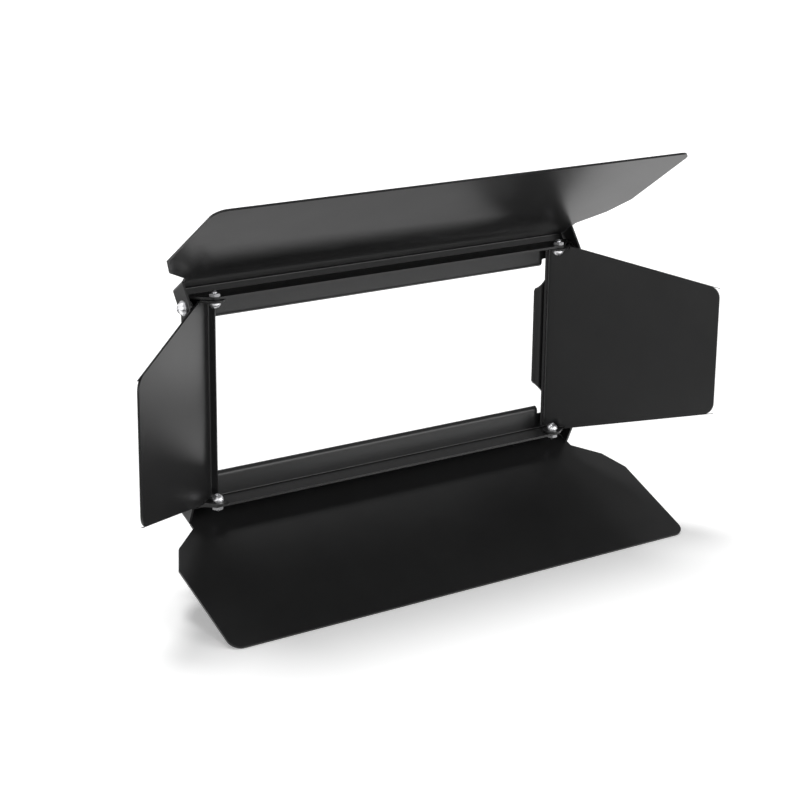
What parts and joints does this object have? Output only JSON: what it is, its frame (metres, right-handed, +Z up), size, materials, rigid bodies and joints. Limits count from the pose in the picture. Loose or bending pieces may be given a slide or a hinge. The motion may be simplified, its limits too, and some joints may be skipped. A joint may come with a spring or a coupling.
{
  "type": "barn door attachment",
  "caption": "Folded black sheet-steel frame for a rectangular floodlight, with top, bottom and side leaves on friction pivots that shape and mask the light beam.",
  "frame": {"origin": "centre of the frame's window on the rear seating face of its ring, where it meets the lamp", "axes": "+X to the right along the wide side as seen from in front, +Y back to the lamp, +Z up; the light leaves along -Y"},
  "size_m": [0.4525, 0.1169, 0.2727],
  "materials": {
    "powder_black": "satin black powder coat on folded steel sheet",
    "zinc_steel": "bright zinc plate",
    "nylon_black": "plain moulded nylon"
  },
  "bodies": {
    "frame_body": {"frame": "powder_black", "top_screws": "zinc_steel", "top_washers": "zinc_steel", "top_friction_washers": "nylon_black", "top_nuts": "zinc_steel", "bottom_screws": "zinc_steel", "bottom_washers": "zinc_steel", "bottom_friction_washers": "nylon_black", "bottom_nuts": "zinc_steel", "left_screws": "zinc_steel", "left_washers": "zinc_steel", "left_friction_washers": "nylon_black", "left_nuts": "zinc_steel", "right_screws": "zinc_steel", "right_washers": "zinc_steel", "right_friction_washers": "nylon_black", "right_nuts": "zinc_steel"},
    "top_leaf_body": {"top_leaf": "powder_black"},
    "bottom_leaf_body": {"bottom_leaf": "powder_black"},
    "left_leaf_body": {"left_leaf": "powder_black"},
    "right_leaf_body": {"right_leaf": "powder_black"}
  },
  "joints": [
    {"name": "top_hinge", "type": "hinge", "parent": "frame_body", "child": "top_leaf_body", "pos_m": [0, -0.0085, 0.0639], "axis": [-1, 0, 0], "range_deg": [-49.9, 25.1]},
    {"name": "bottom_hinge", "type": "hinge", "parent": "frame_body", "child": "bottom_leaf_body", "pos_m": [0, -0.0085, -0.0639], "axis": [1, 0, 0], "range_deg": [-39.3, 35.7]},
    {"name": "left_hinge", "type": "hinge", "parent": "frame_body", "child": "left_leaf_body", "pos_m": [-0.1408, -0.0145, 0], "axis": [0, 0, -1], "range_deg": [-139.3, 0.7]},
    {"name": "right_hinge", "type": "hinge", "parent": "frame_body", "child": "right_leaf_body", "pos_m": [0.1408, -0.0145, 0], "axis": [0, 0, 1], "range_deg": [-127.8, 12.2]}
  ]
}
